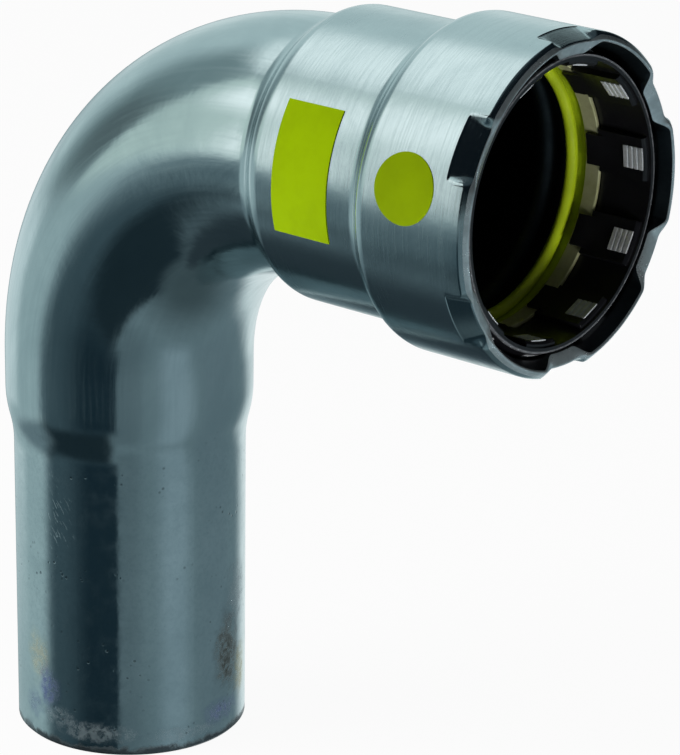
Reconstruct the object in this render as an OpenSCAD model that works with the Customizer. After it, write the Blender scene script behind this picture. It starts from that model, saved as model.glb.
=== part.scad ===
// Press fit elbow: it stands on its plain end, with the origin in the middle of that end's face.
// The plain leg runs up +Z and the socket opens towards +X.

/* [Pipe] */
// Outside diameter of the plain end, and of the pipe that the socket takes
pipe_od = 33.7; // [28:0.1:40]
// Wall of the plain end and of the bend
tube_wall = 2.6; // [1.8:0.1:3.2]

/* [Plain end] */
// Straight length of the plain end
plain_len = 43.5; // [30:0.5:80]
// Length of the swage from the bend down to the plain end
swage_len = 8.5; // [5:0.5:14]
// Straight tube between the bend and the swage
tail_len = 4.7; // [2:0.1:15]
// Chamfer on the outer edge of the plain end
plain_edge = 0.5; // [0.2:0.1:1]

/* [Bend] */
// Radius of the bend at its centreline
bend_radius = 37.4; // [30:0.1:60]
// How far the bend stands proud of the plain end, on the radius
bend_rise = 1.1; // [0.6:0.05:2]

/* [Pipe guide] */
// Gap between the pipe and the guide bore, on the radius
guide_gap = 0.5; // [0.4:0.05:0.7]
// Wall of the pipe guide
guide_wall = 2.9; // [2:0.1:3.5]
// Straight length of the pipe guide
guide_len = 15.7; // [10:0.1:25]
// Length of the step from the bend out to the pipe guide
guide_step = 5.2; // [3.5:0.1:7]

/* [Seal chamber] */
// Depth of the chamber outside the pipe, on the radius
chamber_depth = 3.75; // [3.2:0.05:4.5]
// Wall of the chamber
chamber_wall = 2.1; // [1.4:0.1:2.6]
// Length of the step from the guide out to the chamber
chamber_step = 4.35; // [3.5:0.05:6]
// Gap between the chamber and the rings in it, on the radius
ring_fit = 0.1; // [0.05:0.05:0.2]
// End play between one ring in the chamber and the next
end_play = 0.05; // [0.02:0.01:0.15]

/* [Rim] */
// How far the rim reaches past the retaining ring
rim_reach = 1.7; // [0.8:0.1:2.5]
// Length of the drawn band behind the rim
rim_len = 2.05; // [1:0.05:3]
// How far the drawn band is taken in, on the radius
rim_draw = 0.3; // [0.1:0.05:0.6]
// Flat left on the rim's end
rim_flat = 0.3; // [0.2:0.1:0.8]
// Length of the lead-in chamfer inside the rim
rim_lead = 1.7; // [0.4:0.1:2.2]

/* [Crimps] */
// Flats pressed in the rim, which hold the retaining ring
crimp_count = 6; // [3:1:8]
// Width of each crimp
crimp_width = 8; // [5:0.1:10]
// Distance of each crimp's bend line from the rim
crimp_back = 3.85; // [3:0.05:5]
// Length of each crimp down its slope
crimp_len = 3.3; // [2.5:0.1:4]
// Angle that each crimp is bent in
crimp_tilt = 22; // [12:1:26]
// How far a crimp's faces sink below the chamber's faces at its bend line
crimp_crease = 0.05; // [0.02:0.01:0.15]

/* [Seal] */
// Gap between the sealing bead and the pipe, on the radius
bead_gap = 0.3; // [0.2:0.05:0.6]
// Diameter of the sealing bead
bead_d = 2; // [1.6:0.1:3.2]
// Distance of the bead's middle from the back of the seal
bead_inset = 1; // [0.8:0.1:2.5]
// Length of the seal's outer band
seal_len = 3.1; // [2.6:0.05:6]
// Depth of the seal's outer band
seal_depth = 1.7; // [1:0.1:2]

/* [Separator ring] */
// Gap between the separator ring and the pipe, on the radius
separator_gap = 1.3; // [1:0.05:1.8]
// Length of the separator ring
separator_len = 2.3; // [1.5:0.1:4]
// Thickness of the separator ring's sheet
separator_sheet = 0.6; // [0.4:0.1:0.9]

/* [Retaining ring] */
// Length of the retaining ring
ring_len = 8; // [6.5:0.05:12]
// Gap between the retaining ring and the pipe, on the radius
ring_gap = 1.95; // [1.6:0.05:2.2]
// Gap between the ring's blade pads and the pipe, on the radius
pad_gap = 1.15; // [0.9:0.05:1.5]
// Width of each blade pad
pad_width = 6.2; // [5.6:0.1:8]
// Width of the tongue that centres the separator ring
tongue_width = 4.4; // [2:0.1:5.5]
// Thickness of each tongue
tongue_wall = 0.45; // [0.3:0.05:0.7]
// Length of the ramp from each tongue up to its pad
tongue_ramp = 1.5; // [1:0.1:3]
// Gap between each tongue and the separator ring, on the radius
tongue_fit = 0.08; // [0.04:0.02:0.2]
// Length of the lead-in chamfer on each pad
pad_lead = 0.4; // [0.2:0.1:0.8]

/* [Grip blades] */
// Blades round the pipe
blade_count = 10; // [6:1:11]
// Angle of the first blade from the top, towards -Y
blade_phase = 25; // [0:1:60]
// Width and length of a blade's gripping face
blade_size = 3.1; // [2.5:0.1:4]
// Gap between the blades and the pipe, on the radius
blade_gap = 1; // [0.4:0.05:1.3]
// Front wall that the retaining ring keeps ahead of the blades
blade_front = 0.8; // [0.5:0.1:1.5]
// Width of a blade's head, which keeps it from falling in
head_width = 4.7; // [4.3:0.1:5.4]
// Depth of a blade's head
head_depth = 0.9; // [0.6:0.1:1.1]
// Grooves between the cutting edges of a blade
groove_count = 3; // [1:1:5]
// Depth of each groove
groove_depth = 0.15; // [0.1:0.05:0.4]
// Gap round a blade in its pocket
pocket_fit = 0.06; // [0.03:0.01:0.15]

/* [Marking] */
// Thickness of the printed fields
print_t = 0.08; // [0.05:0.01:0.2]
// Clearance between the printed fields and the metal, on the radius
print_gap = 0.04; // [0.02:0.01:0.08]
// Length of the printed rectangle along the socket
field_len = 9.3; // [4:0.1:12]
// Height of the printed rectangle round the guide
field_height = 17.9; // [8:0.1:25]
// Distance of the rectangle from the start of the guide
field_inset = 2.7; // [1:0.1:5]
// Angle of the rectangle's middle from the top, towards -Y
field_angle = 80.9; // [0:0.1:180]
// Diameter of the printed dot
dot_d = 9.3; // [4:0.1:12]
// Distance of the dot's centre from the start of the chamber
dot_inset = 6.3; // [5:0.1:8]
// Angle of the dot's centre from the top, towards -Y
dot_angle = 76.9; // [0:0.1:180]

/* [Hidden] */
$fn = 128;

// Chords in each arc of a step
arc_steps = 8;
// How far a cutter runs past the face that it cuts
over = 1;
// How far a crimp's sides and a pad run into the wall beside them, and a pad's back is set in
root = 0.1;

// Radii of the tube
pipe_r = pipe_od / 2;
plain_bore_r = pipe_r - tube_wall;
bend_r = pipe_r + bend_rise;
bend_bore_r = bend_r - tube_wall;

// Radii of the socket
guide_bore_r = pipe_r + guide_gap;
guide_r = guide_bore_r + guide_wall;
chamber_bore_r = pipe_r + chamber_depth;
chamber_r = chamber_bore_r + chamber_wall;
rim_r = chamber_r - rim_draw;

// Heights up the plain leg, to the socket's axis
swage_z = plain_len + swage_len;
bend_z = swage_z + tail_len;
socket_z = bend_z + bend_radius;

// Places along the socket, outside, and how far the wall shifts each step inside
guide_x = bend_radius + guide_step;
step_x = guide_x + guide_len;
chamber_x = step_x + chamber_step;
guide_shift = tube_wall * (guide_r - bend_r) / guide_step;
chamber_shift = chamber_wall * (chamber_r - guide_r) / chamber_step;

// Places of the rings in the chamber, from the seal's seat to the rim
seal_x = chamber_x + chamber_shift + end_play;
separator_x = seal_x + seal_len + end_play;
ring_x = separator_x + separator_len + end_play;
ring_front_x = ring_x + ring_len;
rim_x = ring_front_x + rim_reach;
crimp_x = rim_x - crimp_back;

// Radii of the rings in the chamber
ring_r = chamber_bore_r - ring_fit;
bead_r = bead_d / 2;
bead_centre_r = pipe_r + bead_gap + bead_r;
separator_bore_r = pipe_r + separator_gap;
ring_bore_r = pipe_r + ring_gap;
pad_bore_r = pipe_r + pad_gap;
tongue_r = separator_bore_r - tongue_fit;
blade_tip_r = pipe_r + blade_gap;
head_r = ring_r - head_depth;
blade_x = ring_front_x - blade_front - blade_size;

// Inside radii of the printed fields
field_r = guide_r + print_gap;
dot_r = chamber_r + print_gap;

// Radii of a crimp at its bend line, and its tip's outer and inner corner as [along, radius]
crimp_outer_r = chamber_r - crimp_crease;
crimp_inner_r = chamber_bore_r + crimp_crease;
crimp_tip = [crimp_x + crimp_len * cos(crimp_tilt), crimp_outer_r - crimp_len * sin(crimp_tilt)];
crimp_heel = crimp_tip - (crimp_outer_r - crimp_inner_r) * [sin(crimp_tilt), cos(crimp_tilt)];
// Fall of a crimp's inner face along the socket
crimp_fall = (crimp_inner_r - crimp_heel[1]) / (crimp_heel[0] - crimp_x);
// How far a crimp's faces run back into the chamber's wall, up through half of the crease
crimp_root = crimp_crease / (2 * tan(crimp_tilt));

// Angle that a width takes up at a radius
function span(width, radius) = 2 * asin(width / 2 / radius);

// One arc of a step, leaving p along the axis towards q
function arc(p, q) =
    let (
        d = q - p,
        radius = (d[0] * d[0] + d[1] * d[1]) / (4 * abs(d[1])),
        turn = 2 * atan(abs(d[1] / d[0]))
    )
    [for (i = [0:arc_steps])
        let (a = turn * i / arc_steps)
        p + radius * [sign(d[0]) * sin(a), sign(d[1]) * (1 - cos(a))]];

// A step from p to q: two arcs that meet halfway and run out along the axis
function step(p, q) =
    let (back = arc(q, p))
    concat(arc(p, q), [for (i = [arc_steps - 1:-1:0]) back[i]]);

// Turns a shape made round Z onto the socket's axis, starting at an angle from the top
module on_socket(angle = 0) {
    translate([0, 0, socket_z])
        rotate([0, 90, 0])
            rotate([0, 0, 180 + angle])
                children();
}

// A profile of [along, radius] points as a flat shape for revolving
module profile(points) {
    polygon([for (p = points) [p[1], p[0]]]);
}

// A band of the socket, from x0 to x1 and from radius r0 to r1
module band(r0, r1, x0, x1) {
    translate([r0, x0])
        square([r1 - r0, x1 - x0]);
}

module plain_leg() {
    outside = concat(
        [[bend_z, bend_r]],
        step([swage_z, bend_r], [plain_len, pipe_r]),
        [[plain_edge, pipe_r], [0, pipe_r - plain_edge]]
    );
    inside = concat(
        [[0, plain_bore_r]],
        step([plain_len, plain_bore_r], [swage_z, bend_bore_r]),
        [[bend_z, bend_bore_r]]
    );
    rotate_extrude()
        profile(concat(outside, inside));
}

module bend() {
    translate([bend_radius, 0, bend_z])
        rotate([90, 0, 0])
            rotate([0, 0, 90])
                rotate_extrude(angle = 90)
                    translate([bend_radius, 0])
                        difference() {
                            circle(bend_r);
                            circle(bend_bore_r);
                        }
}

module socket() {
    outside = concat(
        step([bend_radius, bend_r], [guide_x, guide_r]),
        step([step_x, guide_r], [chamber_x, chamber_r]),
        [[rim_x - rim_len, chamber_r], [rim_x, rim_r], [rim_x, rim_r - rim_flat]]
    );
    inside = concat(
        [[rim_x - rim_lead, chamber_bore_r]],
        step([chamber_x + chamber_shift, chamber_bore_r], [step_x + chamber_shift, guide_bore_r]),
        step([guide_x + guide_shift, guide_bore_r], [bend_radius + guide_shift, bend_bore_r]),
        [[bend_radius, bend_bore_r]]
    );
    on_socket()
        rotate_extrude()
            profile(concat(outside, inside));
}

// Repeats a profile at each crimp, swept evenly about the crimp's middle
module at_crimps(width) {
    turn = span(width, chamber_r);
    for (i = [0:crimp_count - 1])
        on_socket(360 * i / crimp_count - turn / 2)
            rotate_extrude(angle = turn)
                children();
}

module fitting_body() {
    color([0.60, 0.66, 0.68]) {
        plain_leg();
        bend();
        difference() {
            socket();
            at_crimps(crimp_width)
                band(chamber_bore_r - over, chamber_r + over, crimp_x, rim_x + over);
        }
        at_crimps(crimp_width + 2 * root)
            profile([
                [crimp_x - crimp_root, crimp_outer_r + crimp_crease / 2],
                crimp_tip,
                crimp_heel,
                [crimp_x - crimp_root, crimp_inner_r + crimp_crease / 2]
            ]);
    }
}

module profile_seal() {
    color([0.62, 0.72, 0.10])
        on_socket()
            rotate_extrude()
                union() {
                    band(ring_r - seal_depth, ring_r, seal_x, seal_x + seal_len);
                    translate([bead_centre_r, seal_x + bead_inset])
                        circle(bead_r);
                }
}

module separator_ring() {
    color([0.70, 0.70, 0.66])
        on_socket()
            rotate_extrude()
                union() {
                    band(separator_bore_r, ring_r, separator_x, separator_x + separator_sheet);
                    band(
                        separator_bore_r, separator_bore_r + separator_sheet,
                        separator_x, separator_x + separator_len
                    );
                }
}

// Everything inside the chamber's wall and the crimps, where the ring and the blades fit
module ring_envelope() {
    profile([
        [ring_x, 0],
        [ring_x, ring_r],
        [crimp_x, ring_r],
        [ring_front_x, ring_r - crimp_fall * (ring_front_x - crimp_x)],
        [ring_front_x, 0]
    ]);
}

// Angle of each blade from the top
function blade_angle(i) = blade_phase + 360 * i / blade_count;

// A block that stands out from the socket's axis at a blade
module blade_block(i, width, r0, r1, x0, x1) {
    on_socket(blade_angle(i))
        translate([r0, -width / 2, x0])
            cube([r1 - r0, width, x1 - x0]);
}

// A blade's stem and head, grown by a gap all round
module blade_stem(i, gap) {
    blade_block(i, blade_size + 2 * gap, blade_tip_r, ring_r + over,
        blade_x - gap, blade_x + blade_size + gap);
    blade_block(i, head_width + 2 * gap, head_r - gap, ring_r + over,
        blade_x - gap, blade_x + blade_size + gap);
}

module retaining_ring() {
    color([0.06, 0.06, 0.07])
        difference() {
            union() {
                on_socket()
                    rotate_extrude()
                        intersection() {
                            band(ring_bore_r, ring_r, ring_x, ring_front_x);
                            ring_envelope();
                        }
                for (i = [0:blade_count - 1])
                    blade_pad(i);
            }
            for (i = [0:blade_count - 1])
                blade_stem(i, pocket_fit);
        }
}

// One thickened place that carries a blade, with a ramp down from the tongue behind it
module blade_pad(i) {
    pad_turn = span(pad_width, ring_bore_r);
    tongue_turn = span(tongue_width, tongue_r);
    tongue_root_r = max(tongue_r, pad_bore_r) + root;
    on_socket(blade_angle(i) - pad_turn / 2)
        rotate_extrude(angle = pad_turn)
            intersection() {
                profile([
                    [ring_x + root, ring_bore_r + root],
                    [ring_front_x - pad_lead, ring_bore_r + root],
                    [ring_front_x - pad_lead, pad_bore_r + pad_lead],
                    [ring_front_x - 2 * pad_lead, pad_bore_r],
                    [ring_x + root, pad_bore_r]
                ]);
                ring_envelope();
            }
    on_socket(blade_angle(i) - tongue_turn / 2)
        rotate_extrude(angle = tongue_turn)
            profile([
                [separator_x + separator_sheet + end_play, tongue_r - tongue_wall],
                [separator_x + separator_sheet + end_play, tongue_r],
                [ring_x, tongue_r],
                [ring_x, tongue_root_r],
                [ring_x + tongue_ramp, tongue_root_r],
                [ring_x, tongue_r - tongue_wall]
            ]);
}

module grip_blades() {
    pitch = blade_size / (groove_count + 1);
    groove_side = groove_depth * sqrt(2);
    color([0.78, 0.80, 0.80])
        for (i = [0:blade_count - 1])
            difference() {
                intersection() {
                    blade_stem(i, 0);
                    on_socket()
                        rotate_extrude()
                            ring_envelope();
                }
                for (k = [1:groove_count])
                    on_socket(blade_angle(i))
                        translate([blade_tip_r, 0, blade_x + k * pitch])
                            rotate([90, 0, 0])
                                rotate([0, 0, 45])
                                    cube([groove_side, groove_side, head_width], center = true);
            }
}

module marking_field() {
    field_x = guide_x + field_inset;
    turn = 360 * field_height / (2 * PI * field_r);
    color([0.64, 0.75, 0.05])
        on_socket(field_angle - turn / 2)
            rotate_extrude(angle = turn)
                band(field_r, field_r + print_t, field_x, field_x + field_len);
}

module marking_dot() {
    color([0.66, 0.72, 0.12])
        intersection() {
            on_socket()
                rotate_extrude()
                    band(dot_r, dot_r + print_t, chamber_x, rim_x);
            on_socket(dot_angle)
                translate([0, 0, chamber_x + dot_inset])
                    rotate([0, 90, 0])
                        cylinder(d = dot_d, h = dot_r + over);
        }
}

fitting_body();
profile_seal();
separator_ring();
retaining_ring();
grip_blades();
marking_field();
marking_dot();
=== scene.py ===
# Press fit elbow: a plated steel bend with a plain end below and a press socket at the side
import math

import bmesh
import bpy
from mathutils import Matrix, Vector


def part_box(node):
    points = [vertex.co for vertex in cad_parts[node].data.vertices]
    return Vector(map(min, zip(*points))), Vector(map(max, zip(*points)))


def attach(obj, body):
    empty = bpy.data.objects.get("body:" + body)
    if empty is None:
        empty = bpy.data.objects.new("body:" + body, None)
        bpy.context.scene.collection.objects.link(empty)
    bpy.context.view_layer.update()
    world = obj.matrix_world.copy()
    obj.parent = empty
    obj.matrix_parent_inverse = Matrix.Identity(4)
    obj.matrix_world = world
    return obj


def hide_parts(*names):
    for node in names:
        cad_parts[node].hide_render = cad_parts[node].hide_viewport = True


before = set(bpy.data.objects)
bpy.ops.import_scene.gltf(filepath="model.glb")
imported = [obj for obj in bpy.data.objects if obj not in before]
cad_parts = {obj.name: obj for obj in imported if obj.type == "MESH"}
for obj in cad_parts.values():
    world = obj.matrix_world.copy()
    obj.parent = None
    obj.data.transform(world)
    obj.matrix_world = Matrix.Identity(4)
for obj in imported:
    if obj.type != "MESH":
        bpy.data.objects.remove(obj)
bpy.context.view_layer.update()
mm = 0.001
axisZ = 94.1  # height of the socket's axis in millimetres
print("frame loaded, nodes:", sorted(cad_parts))


def startMaterial(name):
    mat = bpy.data.materials.new(name)
    mat.use_nodes = True
    tree = mat.node_tree
    tree.nodes.clear()
    shader = tree.nodes.new("ShaderNodeBsdfPrincipled")
    output = tree.nodes.new("ShaderNodeOutputMaterial")
    tree.links.new(shader.outputs[0], output.inputs[0])
    return mat, tree, shader


def feed(tree, socket, value):  # a socket is linked, anything else is set
    if isinstance(value, bpy.types.NodeSocket):
        tree.links.new(value, socket)
    elif socket.type == "RGBA":
        socket.default_value = (*value, 1.0)
    else:
        socket.default_value = value


def put(tree, kind, inputs=None, **settings):
    made = tree.nodes.new(kind)
    for key, value in settings.items():
        setattr(made, key, value)
    for key, value in (inputs or {}).items():
        feed(tree, made.inputs[key], value)
    return made


def calc(tree, operation, a, b=0.0):
    return put(tree, "ShaderNodeMath", {0: a, 1: b}, operation=operation).outputs[0]


def remap(tree, value, low, high, toLow=0.0, toHigh=1.0):
    return put(tree, "ShaderNodeMapRange", {0: value, 1: low, 2: high, 3: toLow, 4: toHigh},
               interpolation_type="SMOOTHSTEP").outputs[0]


def noise(tree, vector, scale, detail=4.0, rough=0.55, warp=0.0):
    return put(tree, "ShaderNodeTexNoise", {"Vector": vector, "Scale": scale, "Detail": detail,
                                            "Roughness": rough, "Distortion": warp}).outputs[0]


def blend(tree, share, a, b):
    return put(tree, "ShaderNodeMix", {0: share, 6: a, 7: b}, data_type="RGBA").outputs[2]


def bump(tree, height, strength, distance, below=None):
    inputs = {"Height": height, "Strength": strength, "Distance": distance}
    if below is not None:
        inputs["Normal"] = below
    return put(tree, "ShaderNodeBump", inputs).outputs[0]


def vectorOf(tree, x, y, z):
    return put(tree, "ShaderNodeCombineXYZ", {0: x, 1: y, 2: z}).outputs[0]


def dot(tree, vector, along):
    return put(tree, "ShaderNodeVectorMath", {0: vector, 1: along}, operation="DOT_PRODUCT").outputs["Value"]


def objectPlace(tree):
    return put(tree, "ShaderNodeTexCoord").outputs["Object"]


# camera at the photograph's angle, in degrees and millimetres, with its clipping in metres
cameraAt = {"azimuth": 40.503, "elevation": 19.19, "roll": 0.767, "distance": 501.965,
            "right": 30.47, "up": -38.939, "aim": (0.0, 0.0, axisZ), "lens": 169.665,
            "sensor": 36.0, "clip": (0.01, 20.0)}


def makeCamera(c):
    az, el, roll = (math.radians(c[k]) for k in ("azimuth", "elevation", "roll"))
    back = Vector((math.sin(az) * math.cos(el), -math.cos(az) * math.cos(el), math.sin(el)))
    right = Vector((math.cos(az), math.sin(az), 0.0))
    up = back.cross(right)
    spot = Vector(c["aim"]) + back * c["distance"] + right * c["right"] + up * c["up"]
    across = right * math.cos(roll) + up * math.sin(roll)
    upright = up * math.cos(roll) - right * math.sin(roll)
    data = bpy.data.cameras.new("camera")
    data.lens, data.sensor_width = c["lens"], c["sensor"]
    data.clip_start, data.clip_end = c["clip"]
    cam = bpy.data.objects.new("camera", data)
    bpy.context.scene.collection.objects.link(cam)
    turn = Matrix((across, upright, back)).transposed().to_4x4()
    cam.matrix_world = Matrix.Translation(spot * mm) @ turn
    bpy.context.scene.camera = cam


makeCamera(cameraAt)
print("camera set")


# zinc and nickel plate over steel: turning marks on the socket, drawing marks on the bend, and on the plain
# end the stains of handling as angle from its front, height, width, length, colour and strength
platedLook = {"light": (0.63, 0.725, 0.735), "dull": (0.52, 0.62, 0.635), "pit": (0.06, 0.075, 0.085),
              "scratch": (0.86, 0.90, 0.90), "speck": (0.40, 0.50, 0.53),
              "roughness": 0.10, "roughSpread": 0.08, "turned": 0.08, "front": 130.5, "pipeR": 16.85,
              "stains": [(-50, 13.0, 3.0, 4.6, (0.76, 0.75, 0.58), 0.80),
                         (-42, 9.0, 2.4, 3.6, (0.22, 0.28, 0.58), 0.85),
                         (-34, 4.6, 4.4, 2.6, (0.50, 0.60, 0.64), 0.60),
                         (-54, 5.4, 2.6, 2.4, (0.28, 0.38, 0.52), 0.70),
                         (60, 13.0, 3.8, 7.0, (0.10, 0.105, 0.09), 0.95),
                         (74, 9.0, 2.4, 4.4, (0.54, 0.50, 0.30), 0.75),
                         (54, 4.6, 4.2, 2.2, (0.22, 0.27, 0.52), 0.80),
                         (70, 21.0, 4.6, 7.0, (0.28, 0.34, 0.37), 0.50),
                         (-16, 3.4, 8.0, 2.0, (0.52, 0.61, 0.64), 0.75),
                         (30, 2.8, 8.0, 1.6, (0.36, 0.46, 0.50), 0.60)],
              "scratches": (-35.6, 36.0, 3.4, 7.0),  # angle, height, width and length
              "slant": (2.2, 1.5, 0.22),
              "edgeShade": (1.6, 0.65), "edgeDark": 0.92,  # painted shade, from clean to dark towards the cut end
              "stainShadeRough": 0.25, "stainShadeMetal": 0.78, "grainShare": 0.34, "speckShare": 0.22,
              "turnedLines": (2.5, 4.0), "drawnStreaks": (26.0, 0.06),  # fineness round and along the tube
              "scales": {"cloud": 55, "mottle": 420, "ragged": 300, "broken": 900, "pit": 900,
                         "pitField": 150, "speck": 1500},
              "depths": {"cloud": 0.3, "grain": 0.06, "pit": -0.08, "scratch": -0.05}}  # in millimetres


def makePlated(look):
    mat, tree, shader = startMaterial("platedSteel")
    at = objectPlace(tree)
    sweep = put(tree, "ShaderNodeAttribute", attribute_name="sweep").outputs["Vector"]
    zone = put(tree, "ShaderNodeAttribute", attribute_name="zones").outputs["Vector"]
    around = put(tree, "ShaderNodeSeparateXYZ", {0: sweep}).outputs
    zones = put(tree, "ShaderNodeSeparateXYZ", {0: zone}).outputs
    c, s, length = around[0], around[1], around[2]
    turned, drawn, plain = zones[0], zones[1], zones[2]
    front = math.radians(look["front"])
    face = calc(tree, "ARCTAN2", dot(tree, sweep, (-math.sin(front), math.cos(front), 0.0)),
                dot(tree, sweep, (math.cos(front), math.sin(front), 0.0)))
    arc = calc(tree, "MULTIPLY", face, look["pipeR"])  # millimetres round the tube from its front

    def patch(angle, height, width, tall, ragged):
        dx = calc(tree, "DIVIDE", calc(tree, "SUBTRACT", arc, math.radians(angle) * look["pipeR"]), width)
        dz = calc(tree, "DIVIDE", calc(tree, "SUBTRACT", length, height), tall)
        far = put(tree, "ShaderNodeVectorMath", {0: vectorOf(tree, dx, dz, 0.0)}, operation="LENGTH")
        far = far.outputs["Value"]
        return remap(tree, calc(tree, "ADD", far, calc(tree, "MULTIPLY", ragged, 1.5)), 1.9, 1.0)

    def alongTube(across, along):  # noise coordinates that follow the tube
        return vectorOf(tree, calc(tree, "MULTIPLY", c, across), calc(tree, "MULTIPLY", s, across),
                        calc(tree, "MULTIPLY", length, along))

    scales, depths = look["scales"], look["depths"]
    cloud = noise(tree, at, scales["cloud"], 5, 0.6, 0.4)
    mottle = noise(tree, at, scales["mottle"], 4, 0.6)
    ragged = noise(tree, at, scales["ragged"], 5, 0.65, 0.6)
    broken = noise(tree, at, scales["broken"], 4, 0.7, 0.4)
    lines = noise(tree, alongTube(*look["turnedLines"]), 1.0, 5, 0.75)
    streaks = noise(tree, alongTube(*look["drawnStreaks"]), 1.0, 5, 0.65)
    cells = put(tree, "ShaderNodeTexVoronoi", {"Vector": at, "Scale": scales["pit"]}).outputs[0]
    pits = calc(tree, "MULTIPLY", remap(tree, cells, 0.24, 0.12),
                remap(tree, noise(tree, at, scales["pitField"], 3), 0.52, 0.66))
    pits = calc(tree, "MULTIPLY", pits, remap(tree, plain, 0.2, 0.9, 0.03, 0.5))
    sideways, upwards, run = look["slant"]  # the scratches lie askew
    across = calc(tree, "ADD", calc(tree, "MULTIPLY", arc, sideways),
                  calc(tree, "MULTIPLY", length, upwards))
    slant = vectorOf(tree, across, calc(tree, "MULTIPLY", calc(tree, "SUBTRACT", length, arc), run), 0.0)
    scrapes = remap(tree, noise(tree, slant, 1.3, 2, 0.5), 0.60, 0.68)
    scrapes = calc(tree, "MULTIPLY", scrapes, patch(*look["scratches"], ragged))
    scrapes = calc(tree, "MULTIPLY", scrapes, plain)

    base = blend(tree, remap(tree, cloud, 0.35, 0.70), look["light"], look["dull"])
    grain = calc(tree, "ADD", calc(tree, "MULTIPLY", lines, turned), calc(tree, "MULTIPLY", streaks, drawn))
    grain = calc(tree, "ADD", grain, calc(tree, "MULTIPLY", mottle, plain))
    base = blend(tree, remap(tree, grain, 0.38, 0.66, 0.0, look["grainShare"]), base, look["dull"])
    specks = calc(tree, "MULTIPLY", remap(tree, noise(tree, at, scales["speck"], 3, 0.7), 0.42, 0.66), plain)
    base = blend(tree, calc(tree, "MULTIPLY", specks, look["speckShare"]), base, look["speck"])
    # stains and the painted shade at the cut end together, for roughness and metal
    stainsAndShade = 0.0
    for angle, height, width, tall, colour, strength in look["stains"]:
        film = calc(tree, "MULTIPLY", patch(angle, height, width, tall, ragged),
                    remap(tree, broken, 0.34, 0.60, 0.35, 1.0))
        share = calc(tree, "MULTIPLY", calc(tree, "MULTIPLY", film, strength), plain)
        base = blend(tree, share, base, colour)
        stainsAndShade = calc(tree, "MAXIMUM", stainsAndShade, share)
    # painted shade: darker towards the cut end of the plain leg
    lowEdge = calc(tree, "ADD", length, remap(tree, ragged, 0.3, 0.7, -0.5, 0.5))
    lowEdge = calc(tree, "MULTIPLY", remap(tree, lowEdge, *look["edgeShade"]), look["edgeDark"])
    stainsAndShade = calc(tree, "MAXIMUM", stainsAndShade, lowEdge)
    # pits, and the painted shade at the cut end, in the pit colour
    base = blend(tree, calc(tree, "MAXIMUM", pits, lowEdge), base, look["pit"])
    base = blend(tree, scrapes, base, look["scratch"])
    tree.links.new(base, shader.inputs["Base Color"])
    rough = remap(tree, cloud, 0.3, 0.75, look["roughness"], look["roughness"] + look["roughSpread"])
    rough = calc(tree, "ADD", rough, calc(tree, "MULTIPLY", turned, look["turned"]))
    rough = calc(tree, "ADD", rough, remap(tree, grain, 0.4, 0.7, -0.03, 0.06))
    rough = calc(tree, "ADD", rough, calc(tree, "MULTIPLY", stainsAndShade, look["stainShadeRough"]))
    tree.links.new(rough, shader.inputs["Roughness"])
    normal = bump(tree, cloud, 0.25, depths["cloud"] * mm)
    normal = bump(tree, grain, 0.12, depths["grain"] * mm, normal)
    normal = bump(tree, pits, 0.5, depths["pit"] * mm, normal)
    normal = bump(tree, scrapes, 0.4, depths["scratch"] * mm, normal)
    tree.links.new(normal, shader.inputs["Normal"])
    tree.links.new(remap(tree, stainsAndShade, 0.1, 0.9, 1.0, look["stainShadeMetal"]), shader.inputs["Metallic"])
    return mat


# metals of the bore, the cut rim, the separator's sheet and the blades, with a grain's depth in millimetres;
# the bore's steel is painted near black as shade inside the socket
metals = {"shadedBoreSteel": {"light": (0.070, 0.076, 0.082), "dark": (0.035, 0.038, 0.042), "roughness": 0.40,
                        "spread": 0.15, "scale": 90, "stretch": (1, 1, 1), "depth": 0.05, "metallic": 1.0},
          "rimSteel": {"light": (0.60, 0.69, 0.71), "dark": (0.44, 0.52, 0.54), "roughness": 0.26,
                       "spread": 0.12, "scale": 400, "stretch": (1, 1, 1), "depth": 0.05, "metallic": 0.86},
          # stainless steel tinted olive as a painted reflection of the lime seal beside it
          "stainless": {"light": (0.60, 0.61, 0.36), "dark": (0.46, 0.47, 0.24), "roughness": 0.34,
                        "spread": 0.12, "scale": 160, "stretch": (1, 1, 1), "depth": 0.05, "metallic": 0.6},
          "bladeSteel": {"light": (0.84, 0.86, 0.87), "dark": (0.60, 0.63, 0.65), "roughness": 0.38,
                         "spread": 0.12, "scale": 700, "stretch": (0.2, 1, 1), "depth": 0.05,
                         "metallic": 0.6}}


def makeMetal(name, look):
    mat, tree, shader = startMaterial(name)
    at = put(tree, "ShaderNodeMapping", {"Vector": objectPlace(tree), "Scale": look["stretch"]}).outputs[0]
    patches = noise(tree, at, look["scale"], 5, 0.6, 0.3)
    fine = noise(tree, at, look["scale"] * 7, 4, 0.6)
    tone = blend(tree, remap(tree, patches, 0.35, 0.68), look["light"], look["dark"])
    tone = blend(tree, remap(tree, fine, 0.5, 0.8, 0.0, 0.35), tone, look["dark"])
    tree.links.new(tone, shader.inputs["Base Color"])
    rough = remap(tree, patches, 0.3, 0.7, look["roughness"], look["roughness"] + look["spread"])
    tree.links.new(rough, shader.inputs["Roughness"])
    tree.links.new(bump(tree, fine, 0.3, look["depth"] * mm), shader.inputs["Normal"])
    shader.inputs["Metallic"].default_value = look["metallic"]
    return mat
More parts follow.
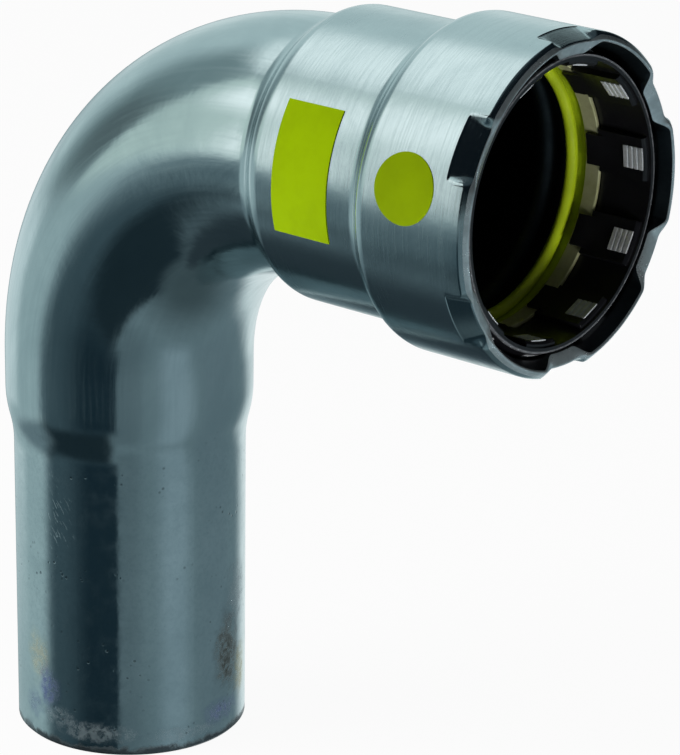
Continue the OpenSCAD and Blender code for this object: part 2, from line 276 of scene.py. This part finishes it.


# rubber, moulded plastic and ink; a painted highlight goes round the socket's axis as a light line on the
# black ring's crest, as its place along the axis, its radius and its reach in millimetres, and its tone
softs = {"limeRubber": {"light": (0.33, 0.43, 0.010), "dark": (0.25, 0.33, 0.008), "roughness": 0.34,
                        "spread": 0.12, "scale": 120, "depth": 0.03, "level": 0.5, "crestHighlight": None},
         # the black ring's lighter crest tone is a painted highlight, a light grey line round its front edge
         "blackPlastic": {"light": (0.006, 0.006, 0.007), "dark": (0.004, 0.004, 0.005), "roughness": 0.28,
                          "spread": 0.14, "scale": 150, "depth": 0.03, "level": 0.5,
                          "crestHighlight": (77.38, 19.48, 0.3, (0.10, 0.107, 0.115))},
         "limeInk": {"light": (0.42, 0.64, 0.002), "dark": (0.37, 0.56, 0.002), "roughness": 0.55,
                     "spread": 0.15, "scale": 140, "depth": 0.01, "level": 0.06, "crestHighlight": None},
         "dotInk": {"light": (0.30, 0.44, 0.002), "dark": (0.26, 0.38, 0.002), "roughness": 0.55,
                    "spread": 0.15, "scale": 140, "depth": 0.01, "level": 0.06, "crestHighlight": None}}


def highlightBand(tree, at, place, radius, reach):  # mask of the painted highlight: 1 on the edge, 0 from its reach on
    x, y, z = put(tree, "ShaderNodeSeparateXYZ", {0: at}).outputs
    arm = vectorOf(tree, 0.0, y, calc(tree, "SUBTRACT", z, axisZ * mm))
    out = put(tree, "ShaderNodeVectorMath", {0: arm}, operation="LENGTH").outputs["Value"]
    near = calc(tree, "MAXIMUM", calc(tree, "ABSOLUTE", calc(tree, "SUBTRACT", x, place * mm)),
                calc(tree, "ABSOLUTE", calc(tree, "SUBTRACT", out, radius * mm)))
    return remap(tree, near, reach * mm, reach * mm * 0.5)


def makeSoft(name, look):
    mat, tree, shader = startMaterial(name)
    at = objectPlace(tree)
    patches = noise(tree, at, look["scale"], 4, 0.6)
    fine = noise(tree, at, look["scale"] * 9, 3, 0.6)
    tone = blend(tree, remap(tree, patches, 0.35, 0.7), look["light"], look["dark"])
    # painted highlight: a light grey line along the ring's crest, standing in for the gloss on its rounded
    # edge
    if look["crestHighlight"]:
        edge = highlightBand(tree, at, *look["crestHighlight"][:3])
        edge = calc(tree, "MULTIPLY", edge, remap(tree, fine, 0.3, 0.6, 0.4, 1.0))
        tone = blend(tree, edge, tone, look["crestHighlight"][3])
    tree.links.new(tone, shader.inputs["Base Color"])
    rough = remap(tree, fine, 0.3, 0.7, look["roughness"], look["roughness"] + look["spread"])
    tree.links.new(rough, shader.inputs["Roughness"])
    tree.links.new(bump(tree, fine, 0.35, look["depth"] * mm), shader.inputs["Normal"])
    shader.inputs["Specular IOR Level"].default_value = look["level"]
    return mat


plated = makePlated(platedLook)
shadedBoreSteel, rimSteel, stainless, bladeSteel = (makeMetal(name, look) for name, look in metals.items())
limeRubber, blackPlastic, limeInk, dotInk = (makeSoft(name, look) for name, look in softs.items())
print("materials made")


def finishPiece(shape, node, name, mats, bevelWidth, bevelAngle):
    for mat in mats:
        shape.materials.append(mat)
    piece = bpy.data.objects.new(name, shape)
    bpy.context.scene.collection.objects.link(piece)
    bevel = piece.modifiers.new("edges", "BEVEL")
    bevel.width, bevel.segments, bevel.limit_method = bevelWidth * mm, 2, "ANGLE"
    bevel.angle_limit = math.radians(bevelAngle)
    piece.modifiers.new("normals", "WEIGHTED_NORMAL").keep_sharp = True
    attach(piece, "root")
    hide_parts(node)
    print(name, "made:", len(shape.polygons), "faces")


# the elbow's wall in millimetres, as the solids have it: up the plain leg, then along the socket; the wall's
# rounded end goes back from the rim and in from the drum, and on a crimp back from its tip and in
elbow = {"pipeR": 16.85, "wall": 2.6, "edge": 0.5, "plainLen": 43.5, "swageLen": 8.5,
         "bendRadius": 37.4, "bendR": 17.95,
         "guideStep": 5.2, "guideLen": 15.7, "guideR": 20.25, "guideBoreR": 17.35, "guideShift": 1.15,
         "chamberStep": 4.35, "chamberR": 22.7, "chamberBoreR": 20.6,
         "sealX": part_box("profile_seal")[0].x / mm, "endPlay": 0.05,
         "rimX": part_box("fitting_body")[1].x / mm, "rimLead": 1.7, "leadBack": 0.6,
         "crimps": 6, "crimpWidth": 8.0, "crimpBack": 3.85, "crimpLen": 3.5, "crimpTilt": 22.0,
         "crimpSide": 3.0, "crease": 0.05, "creaseRing": 0.12,
         "rimLip": [(1.15, 0.0), (0.98, 0.05), (0.85, 0.13), (0.48, 0.46), (0.12, 0.82), (0.0, 1.02),
                    (0.03, 1.16), (0.2, 1.32)],
         "crimpLip": [(1.9, 0.0), (1.2, 0.0), (0.5, 0.0), (0.16, 0.02), (0.04, 0.10), (0.0, 0.26),
                      (0.0, 1.1)],
         "lipFrom": (0.06, 0.4),  # first rows of both, on from the bend line of the crimps
         "crimpInside": [(0.04, 0.15), (0.25, 0.0)], "crimpRoot": (1.2, 0.5),  # last rows of a crimp
         "turnedFrom": (-2.0, 3.0),  # where turning marks set in, from the end of the bend
         "sideFrom": 0.15, "sideRows": 6,  # a side wall's first share of its width, and rows to the whole
         "rimRows": (5, 9),  # rows of the end that show the cut rim
         "crimpSteps": 8, "sideSteps": 13, "rimSteps": 14, "bendSteps": 56,
         "bevel": 0.06, "bevelAngle": 38.0}


def sCurve(p, q, steps=9):
    def half(a, b):  # leaves a along the axis and ends midway to b
        dx, dr = b[0] - a[0], b[1] - a[1]
        radius = (dx * dx + dr * dr) / (4 * abs(dr))
        turn = 2 * math.atan(abs(dr / dx))
        signX, signR = math.copysign(1, dx), math.copysign(1, dr)
        return [(a[0] + signX * radius * math.sin(turn * i / steps),
                 a[1] + signR * radius * (1 - math.cos(turn * i / steps))) for i in range(steps + 1)]
    return half(p, q) + half(q, p)[-2::-1]


def straight(a, b, r, pitch=2.6):
    count = max(1, round(abs(b - a) / pitch))
    return [(a + (b - a) * i / count, r) for i in range(1, count)]


def ease(value, low, high):  # 0 at low, 1 at high
    t = min(1.0, max(0.0, (value - low) / (high - low)))
    return t * t * (3 - 2 * t)


def makeElbow(e):
    swageEnd = e["plainLen"] + e["swageLen"]
    bendStart = axisZ - e["bendRadius"]
    bendEnd = bendStart + e["bendRadius"] * math.pi / 2
    onSocket = bendEnd - e["bendRadius"]  # adds to a socket place to give the length along the path
    boreR, bendBoreR = e["pipeR"] - e["wall"], e["bendR"] - e["wall"]
    guideX = e["bendRadius"] + e["guideStep"]
    stepX = guideX + e["guideLen"]
    chamberX = stepX + e["chamberStep"]
    rimX, seat = e["rimX"], e["sealX"] - e["endPlay"]
    crimpX = rimX - e["crimpBack"]

    def spot(length, radius, angle):
        if length <= bendStart:
            centre, out = Vector((0, 0, length)), Vector((-1, 0, 0))
        elif length < bendEnd:
            t = (length - bendStart) / e["bendRadius"]
            out = Vector((-math.cos(t), 0, math.sin(t)))
            centre = Vector((e["bendRadius"], 0, bendStart)) + out * e["bendRadius"]
        else:
            centre, out = Vector((length - onSocket, 0, axisZ)), Vector((0, 0, 1))
        return (centre + radius * (math.cos(angle) * out + math.sin(angle) * Vector((0, -1, 0)))) * mm

    def shifted(points):
        return [(x + onSocket, r) for x, r in points]

    bendAt = [bendStart + (bendEnd - bendStart) * i / e["bendSteps"] for i in range(1, e["bendSteps"])]
    outside = [(0, e["pipeR"] - e["edge"]), (e["edge"], e["pipeR"])]
    outside += straight(e["edge"], e["plainLen"], e["pipeR"])
    outside += sCurve((e["plainLen"], e["pipeR"]), (swageEnd, e["bendR"]))
    outside += straight(swageEnd, bendStart, e["bendR"]) + [(bendStart, e["bendR"])]
    outside += [(a, e["bendR"]) for a in bendAt]
    outside += shifted(sCurve((e["bendRadius"], e["bendR"]), (guideX, e["guideR"]))
                       + straight(guideX, stepX, e["guideR"])
                       + sCurve((stepX, e["guideR"]), (chamberX, e["chamberR"]))
                       + straight(chamberX, crimpX, e["chamberR"])
                       + [(crimpX - e["creaseRing"], e["chamberR"]), (crimpX, e["chamberR"])])
    guideIn = seat - e["chamberStep"]
    guideFoot, bendIn = guideX + e["guideShift"], e["bendRadius"] + e["guideShift"]
    inside = shifted([(crimpX, e["chamberBoreR"])] + straight(crimpX, seat, e["chamberBoreR"])
                     + sCurve((seat, e["chamberBoreR"]), (guideIn, e["guideBoreR"]))
                     + straight(guideIn, guideFoot, e["guideBoreR"])
                     + sCurve((guideFoot, e["guideBoreR"]), (bendIn, bendBoreR))
                     + [(e["bendRadius"], bendBoreR)])
    inside += [(a, bendBoreR) for a in reversed(bendAt)] + [(bendStart, bendBoreR)]
    inside += sCurve((swageEnd, bendBoreR), (e["plainLen"], boreR))
    inside += straight(e["plainLen"], 0, boreR) + [(0, boreR)]

    # columns round the wall, closer beside each crimp
    half = math.asin(e["crimpWidth"] / 2 / e["chamberR"])
    side = e["crimpSide"] / e["chamberR"]
    pitch = 2 * math.pi / e["crimps"]
    angles = []
    for i in range(e["crimps"]):
        edges = [i * pitch - half + side / 2, i * pitch + half - side / 2, i * pitch + half + side / 2,
                 (i + 1) * pitch - half - side / 2, (i + 1) * pitch - half + side / 2]
        parts = (e["crimpSteps"], e["sideSteps"], e["rimSteps"], e["sideSteps"])
        for low, high, steps in zip(edges, edges[1:], parts):
            angles += [low + (high - low) * k / steps for k in range(steps)]
    count = len(angles)

    def crimpShare(angle, width):  # 1 on a crimp, 0 on the rim between, over a side wall of this width
        off = abs((angle + pitch / 2) % pitch - pitch / 2)
        return ease(off, half + width / e["chamberR"] / 2, half - width / e["chamberR"] / 2)

    # the wall's end from the crimps' bend line, over the rim and back in, for a drawn and a crimped place
    drumR, boreEnd = e["chamberR"], e["chamberBoreR"]
    leadX = rimX - e["rimLead"]
    first, second = e["lipFrom"]
    drawnEnd = [(crimpX + first, drumR), (crimpX + second, drumR)]
    drawnEnd += [(rimX - back, drumR - drop) for back, drop in e["rimLip"]]
    drawnEnd += [(leadX, boreEnd), (leadX - e["leadBack"], boreEnd)]
    tilt, thick = math.radians(e["crimpTilt"]), drumR - boreEnd - 2 * e["crease"]
    tip = (crimpX + e["crimpLen"] * math.cos(tilt), drumR - e["crease"] - e["crimpLen"] * math.sin(tilt))

    def onCrimp(back, drop):  # back from the tip down the crimp's slope, and in through its thickness
        return (tip[0] - back * math.cos(tilt) - drop * math.sin(tilt),
                tip[1] + back * math.sin(tilt) - drop * math.cos(tilt))

    crimpEnd = [(crimpX + first, drumR - 2 * e["crease"]), onCrimp(e["crimpLen"] - second, 0.0)]
    crimpEnd += [onCrimp(*point) for point in e["crimpLip"]]
    crimpEnd += [onCrimp(back, thick - left) for back, left in e["crimpInside"]]
    crimpEnd += [(crimpX + e["crimpRoot"][0], boreEnd - e["crimpRoot"][1])]

    bm = bmesh.new()
    sweepOf = {}

    def vert(length, radius, column):
        made = bm.verts.new(spot(length, radius, angles[column]))
        sweepOf[made] = (math.cos(angles[column]), math.sin(angles[column]), length)
        return made

    def skin(rings, slot):
        for low, high in zip(rings, rings[1:]):
            for k in range(count):
                n = (k + 1) % count
                made = bm.faces.new((low[k], low[n], high[n], high[k]))
                made.material_index = slot
                made.smooth = True

    outer = [[vert(a, r, k) for k in range(count)] for a, r in outside]
    inner = [[vert(a, r, k) for k in range(count)] for a, r in inside]
    lip = []
    for i, (drawnAt, crimpAt) in enumerate(zip(shifted(drawnEnd), shifted(crimpEnd))):
        widen = e["sideFrom"] + (1 - e["sideFrom"]) * min(1.0, i / e["sideRows"])
        width = e["crimpSide"] * widen  # side walls widen towards the rim
        shares = [crimpShare(a, width) for a in angles]
        lip.append([vert(drawnAt[0] + (crimpAt[0] - drawnAt[0]) * shares[k],
                         drawnAt[1] + (crimpAt[1] - drawnAt[1]) * shares[k], k) for k in range(count)])
    platedSlot, boreSlot, rimSlot = range(3)
    rimFrom, rimTo = e["rimRows"]
    skin(outer + lip[:rimFrom + 1], platedSlot)
    skin(lip[rimFrom:rimTo + 1], rimSlot)
    skin(lip[rimTo:] + inner, boreSlot)
    skin([inner[-1], outer[0]], rimSlot)
    bmesh.ops.recalc_face_normals(bm, faces=bm.faces)
    mesh = bpy.data.meshes.new("platedElbow")
    bm.verts.index_update()
    marks = [sweepOf[v] for v in bm.verts]
    bm.to_mesh(mesh)
    bm.free()
    sweep = mesh.attributes.new("sweep", "FLOAT_VECTOR", "POINT")
    zones = mesh.attributes.new("zones", "FLOAT_VECTOR", "POINT")
    turnedLow, turnedHigh = (bendEnd + on for on in e["turnedFrom"])
    for i, mark in enumerate(marks):
        sweep.data[i].vector = mark
        turned = ease(mark[2], turnedLow, turnedHigh)
        drawn = ease(mark[2], e["plainLen"], swageEnd) * (1 - turned)
        zones.data[i].vector = (turned, drawn, 1 - turned - drawn)
    # the bore takes the steel painted near black as shade
    mats = (plated, shadedBoreSteel, rimSteel)
    finishPiece(mesh, "fitting_body", "platedElbow", mats, e["bevel"], e["bevelAngle"])


makeElbow(elbow)


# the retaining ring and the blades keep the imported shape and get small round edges
grip = {"ringEdge": 0.10, "bladeEdge": 0.04, "bevelAngle": 30.0, "weld": 0.002, "flat": 0.6}


def dress(node, name, mat, bevelWidth):
    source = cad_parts[node].data
    shape = bpy.data.meshes.new(name)
    shape.from_pydata([v.co for v in source.vertices], [], [list(p.vertices) for p in source.polygons])
    bm = bmesh.new()
    bm.from_mesh(shape)
    bmesh.ops.remove_doubles(bm, verts=bm.verts, dist=grip["weld"] * mm)
    bmesh.ops.dissolve_limit(bm, angle_limit=math.radians(grip["flat"]), verts=bm.verts, edges=bm.edges)
    for f in bm.faces:
        f.smooth = True
    bm.to_mesh(shape)
    bm.free()
    finishPiece(shape, node, name, [mat], bevelWidth, grip["bevelAngle"])


# seal and separator, turned from their profiles round the socket's axis, from where the solids begin
rings = {"sealX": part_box("profile_seal")[0].x / mm, "sealLen": 3.1, "outerR": 20.5, "bandR": 18.8,
         "beadIn": 1.0, "beadR": 0.85, "beadMidR": 18.0, "beadSteps": 28,
         "separatorX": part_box("separator_ring")[0].x / mm, "separatorLen": 2.3, "separatorR": 18.15,
         "sheet": 0.6, "steps": 180, "bevel": 0.15, "bevelAngle": 35.0}


def turnRing(node, name, mat, profile):
    bm = bmesh.new()
    columns = []
    for k in range(rings["steps"]):
        a = 2 * math.pi * k / rings["steps"]
        columns.append([bm.verts.new(Vector((x, -r * math.sin(a), axisZ + r * math.cos(a))) * mm)
                        for x, r in profile])
    for left, right in zip(columns, columns[1:] + columns[:1]):
        for i in range(len(profile)):
            n = (i + 1) % len(profile)
            bm.faces.new((left[i], right[i], right[n], left[n])).smooth = True
    bmesh.ops.recalc_face_normals(bm, faces=bm.faces)
    shape = bpy.data.meshes.new(name)
    bm.to_mesh(shape)
    bm.free()
    finishPiece(shape, node, name, [mat], rings["bevel"], rings["bevelAngle"])


def makeRings(g):
    neck = math.asin((g["bandR"] - g["beadMidR"]) / g["beadR"])
    bead = [neck - (math.pi + 2 * neck) * i / g["beadSteps"] for i in range(g["beadSteps"] + 1)]
    sealEnd, beadX = g["sealX"] + g["sealLen"], g["sealX"] + g["beadIn"]
    seal = [(g["sealX"], g["outerR"]), (sealEnd, g["outerR"]), (sealEnd, g["bandR"])]
    seal += [(beadX + g["beadR"] * math.cos(t), g["beadMidR"] + g["beadR"] * math.sin(t)) for t in bead]
    seal += [(g["sealX"], g["bandR"])]
    turnRing("profile_seal", "sealRing", limeRubber, seal)
    back, front, inR = g["separatorX"], g["separatorX"] + g["separatorLen"], g["separatorR"]
    inner, outR = inR + g["sheet"], g["outerR"]
    angleRing = [(back, outR), (back + g["sheet"], outR), (back + g["sheet"], inner),
                 (front, inner), (front, inR), (back, inR)]
    # the separator's olive tint is a painted reflection of the seal
    turnRing("separator_ring", "separatorRing", stainless, angleRing)


makeRings(rings)
dress("retaining_ring", "retainingRing", blackPlastic, grip["ringEdge"])
dress("grip_blades", "gripBlades", bladeSteel, grip["bladeEdge"])
for node, mat in (("marking_field", limeInk), ("marking_dot", dotInk)):
    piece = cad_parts[node]
    piece.data.materials.clear()
    piece.data.materials.append(mat)
print("prints finished")

# studio that the steel mirrors: a pale room with cards, each from and to an azimuth and an elevation in
# degrees, with the softness of its two sides and of its top and bottom, and its tone
studio = {"white": (1.0, 1.0, 1.0), "room": (0.54, 0.665, 0.68), "floor": (0.158, 0.220, 0.245),
          "horizon": -0.2, "diffuse": 0.10,  # radians down to the floor's full tone, light on dull surfaces
          "cards": [(-187, -155, -4, 46, 24, 5, 14, (0.220, 0.300, 0.315)),  # grey wall left of the window
                    (-176, -157, 0, 20, 16, 6, 16, (0.115, 0.155, 0.165)),
                    (-155, -124, -5, 52, 4, 6, 10, (0.58, 0.70, 0.67)),       # window
                    (-147, -124, 25, 52, 12, 6, 14, (1.14, 1.20, 1.20)),
                    (-132, -124, -4, 34, 8, 6, 10, (1.10, 1.16, 1.16)),
                    (148, 206, 46, 64, 18, 10, 8, (1.10, 1.18, 1.18)),        # upper window
                    (114, 148, -5, 14, 10, 16, 16, (0.66, 0.77, 0.78)),
                    (-123, 112, -4, 100, 6, 14, 10, (0.004, 0.007, 0.010)),   # unlit room in front
                    (-180, 180, 64, 100, 1, 1, 8, (0.04, 0.055, 0.065)),      # ceiling
                    (142, 221, -28, -4, 10, 14, 7, (0.37, 0.48, 0.50)),       # lit floor behind
                    (148, 186, -21, -5, 8, 14, 7, (0.66, 0.77, 0.79)),
                    (94, 134, -48, -14, 28, 7, 16, (0.78, 0.86, 0.87)),
                    (-62, -36, -46, -10, 6, 20, 12, (0.118, 0.166, 0.187)),   # floor beside the fitting
                    (-16, 14, -46, -10, 22, 18, 12, (0.245, 0.325, 0.365)),
                    (26, 68, -46, -10, 14, 18, 12, (0.148, 0.205, 0.232)),
                    (-180, 180, -120, -64, 1, 1, 36, (0.060, 0.088, 0.098)),  # below the fitting
                    (-140, -66, -72, -26, 22, 12, 12, (0.013, 0.025, 0.032)),  # shaded floor
                    (-133, -59, -32, -14, 14, 4, 9, (0.050, 0.083, 0.100)),
                    (-103, -59, -32, -14, 36, 4, 9, (0.011, 0.025, 0.035)),
                    (134, 216, -78, -39, 6, 18, 8, (0.026, 0.040, 0.049))]}  # shaded floor behind


def makeWorld(w):
    world = bpy.data.worlds.new("studio")
    bpy.context.scene.world = world
    world.use_nodes = True
    tree = world.node_tree
    tree.nodes.clear()
    look = put(tree, "ShaderNodeTexCoord").outputs["Generated"]
    rise = calc(tree, "ARCSINE", put(tree, "ShaderNodeSeparateXYZ", {0: look}).outputs[2])

    def between(value, low, high, lowEdge, highEdge):  # soft steps up at low and down at high, in degrees
        low, high, lowEdge, highEdge = (math.radians(d) for d in (low, high, lowEdge / 2, highEdge / 2))
        return calc(tree, "MULTIPLY", remap(tree, value, low - lowEdge, low + lowEdge),
                    remap(tree, value, high + highEdge, high - highEdge))

    tone = blend(tree, remap(tree, rise, 0.0, w["horizon"]), w["room"], w["floor"])
    for azFrom, azTo, elFrom, elTo, fromEdge, toEdge, elEdge, value in w["cards"]:
        mid, half = math.radians((azFrom + azTo) / 2), (azTo - azFrom) / 2
        turn = calc(tree, "ARCTAN2", dot(tree, look, (-math.sin(mid), math.cos(mid), 0.0)),
                    dot(tree, look, (math.cos(mid), math.sin(mid), 0.0)))
        share = calc(tree, "MULTIPLY", between(turn, -half, half, fromEdge, toEdge),
                     between(rise, elFrom, elTo, elEdge, elEdge))
        tone = blend(tree, share, tone, value)
    ray = put(tree, "ShaderNodeLightPath").outputs
    tone = blend(tree, ray["Is Glossy Ray"], (w["diffuse"],) * 3, tone)
    seen = calc(tree, "MAXIMUM", ray["Is Camera Ray"], ray["Is Transmission Ray"])
    tone = blend(tree, seen, tone, w["white"])
    back = put(tree, "ShaderNodeBackground", {"Color": tone, "Strength": 1.0})
    output = tree.nodes.new("ShaderNodeOutputWorld")
    tree.links.new(back.outputs[0], output.inputs[0])


# pale paper, with the share of plain white that the camera sees in it
floorLook = {"size": 4.0, "paper": (0.88, 0.88, 0.88), "glow": 0.95}


def makeFloor(look):
    size = look["size"]
    mesh = bpy.data.meshes.new("floor")
    corners = [(-size, -size, 0), (size, -size, 0), (size, size, 0), (-size, size, 0)]
    mesh.from_pydata(corners, [], [(0, 1, 2, 3)])
    floor = bpy.data.objects.new("floor", mesh)
    bpy.context.scene.collection.objects.link(floor)
    mat = bpy.data.materials.new("paleFloor")
    mat.use_nodes = True
    tree = mat.node_tree
    tree.nodes.clear()
    paper = put(tree, "ShaderNodeBsdfDiffuse", {"Color": look["paper"]}).outputs[0]
    glow = put(tree, "ShaderNodeEmission", {"Color": (1.0, 1.0, 1.0), "Strength": 1.0}).outputs[0]
    ray = put(tree, "ShaderNodeLightPath").outputs
    seen = calc(tree, "MULTIPLY", ray["Is Camera Ray"], look["glow"])
    mixed = put(tree, "ShaderNodeMixShader", {0: seen, 1: paper, 2: glow}).outputs[0]
    output = tree.nodes.new("ShaderNodeOutputMaterial")
    tree.links.new(mixed, output.inputs[0])
    mesh.materials.append(mat)
    floor.visible_glossy = False


# lamps: place, aim, width and height in metres, power in watts
lamps = {"key": ((-0.55, -0.62, 0.75), (0.03, 0.0, 0.07), (0.9, 0.7), 8.5),
         "low": ((0.26, -0.06, 0.012), (0.07, 0.0, 0.097), (0.07, 0.05), 0.50)}


def makeLamps(given):
    for name, (spot, aim, size, power) in given.items():
        data = bpy.data.lights.new(name, "AREA")
        data.shape, data.size, data.size_y, data.energy = "RECTANGLE", size[0], size[1], power
        lamp = bpy.data.objects.new(name, data)
        bpy.context.scene.collection.objects.link(lamp)
        lamp.location = spot
        lamp.rotation_euler = (Vector(aim) - Vector(spot)).to_track_quat("-Z", "Y").to_euler()
        lamp.visible_glossy = lamp.visible_camera = False


makeWorld(studio)
makeFloor(floorLook)
makeLamps(lamps)
bpy.context.scene.view_settings.view_transform = "Standard"
print("studio made")
